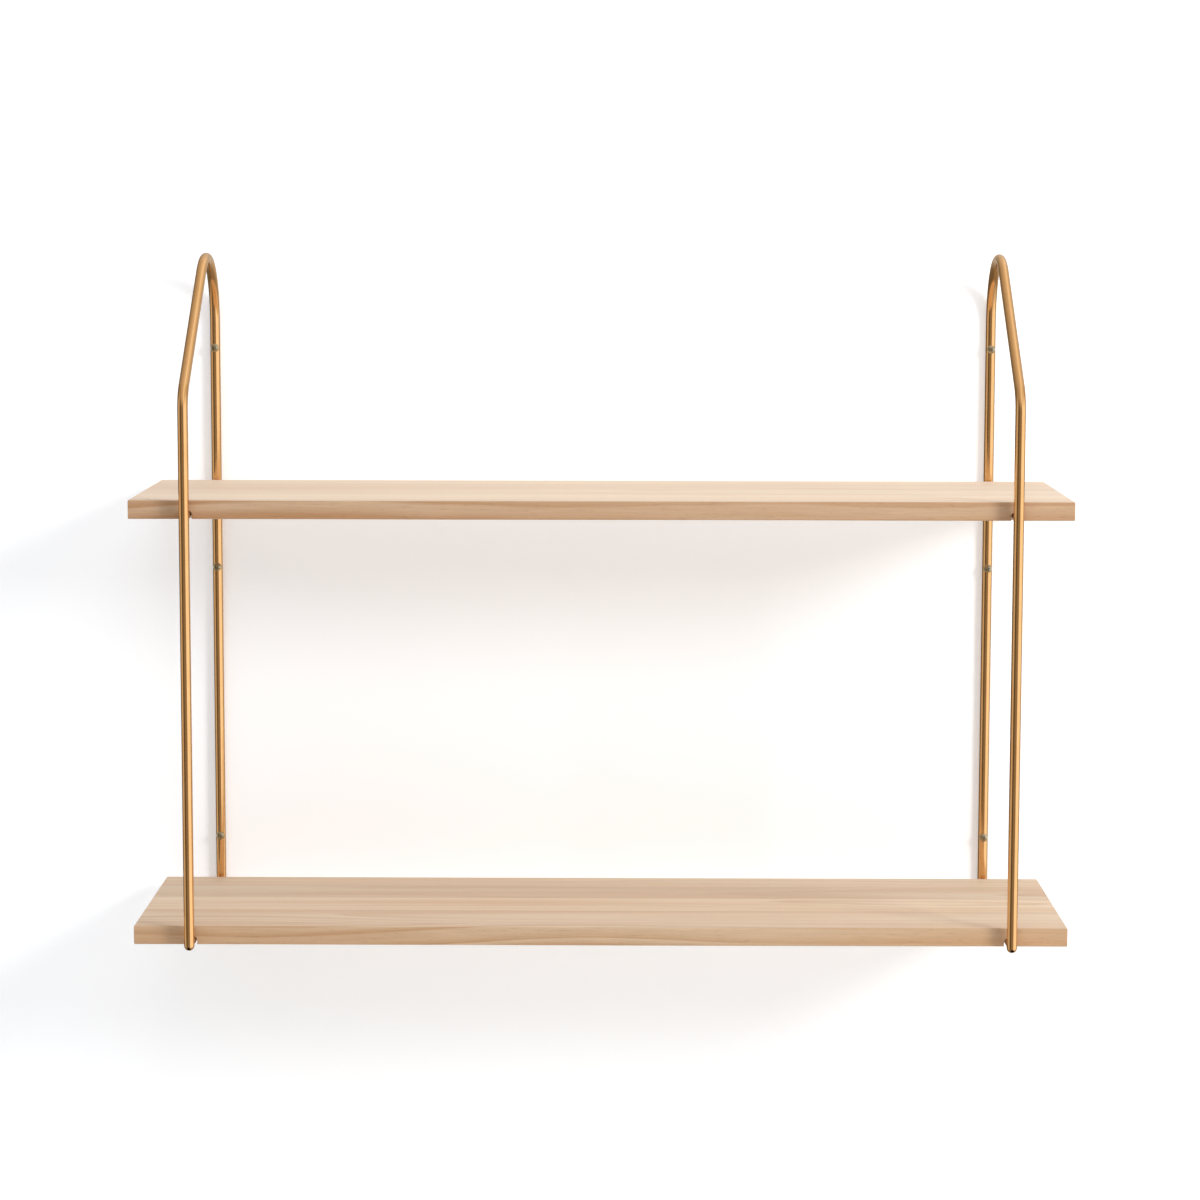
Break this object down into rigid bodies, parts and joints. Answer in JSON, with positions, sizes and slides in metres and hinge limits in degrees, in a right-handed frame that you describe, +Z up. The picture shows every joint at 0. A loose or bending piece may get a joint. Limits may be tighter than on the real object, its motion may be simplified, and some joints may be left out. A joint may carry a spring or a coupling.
{
  "type": "double wall shelf",
  "caption": "Double wall shelf: pine boards resting on the welded rails of two bent round tube frames, screwed to the wall through their rear uprights.",
  "frame": {"origin": "on the wall plane, midway between the two frames and midway between their top and bottom wall screws", "axes": "+X along the boards to the right as seen from the room, +Y into the wall, +Z up; the room is on the -Y side"},
  "size_m": [0.9, 0.319, 0.6646],
  "materials": {
    "pine": "sanded solid pine, clear matt oil",
    "gold_tube": "satin brass-coloured plating on steel",
    "screw_steel": "zinc-plated, satin",
    "plug_nylon": "moulded nylon"
  },
  "bodies": {
    "root": {"upper_board": "pine", "lower_board": "pine", "left_frame": "gold_tube", "right_frame": "gold_tube", "left_upper_rail": "gold_tube", "left_lower_rail": "gold_tube", "right_upper_rail": "gold_tube", "right_lower_rail": "gold_tube", "left_top_wall_screw": "screw_steel", "left_middle_wall_screw": "screw_steel", "left_bottom_wall_screw": "screw_steel", "right_top_wall_screw": "screw_steel", "right_middle_wall_screw": "screw_steel", "right_bottom_wall_screw": "screw_steel", "left_top_wall_plug": "plug_nylon", "left_middle_wall_plug": "plug_nylon", "left_bottom_wall_plug": "plug_nylon", "right_top_wall_plug": "plug_nylon", "right_middle_wall_plug": "plug_nylon", "right_bottom_wall_plug": "plug_nylon", "upper_left_front_screw": "screw_steel", "upper_left_back_screw": "screw_steel", "upper_right_front_screw": "screw_steel", "upper_right_back_screw": "screw_steel", "lower_left_front_screw": "screw_steel", "lower_left_back_screw": "screw_steel", "lower_right_front_screw": "screw_steel", "lower_right_back_screw": "screw_steel"}
  },
  "joints": []
}
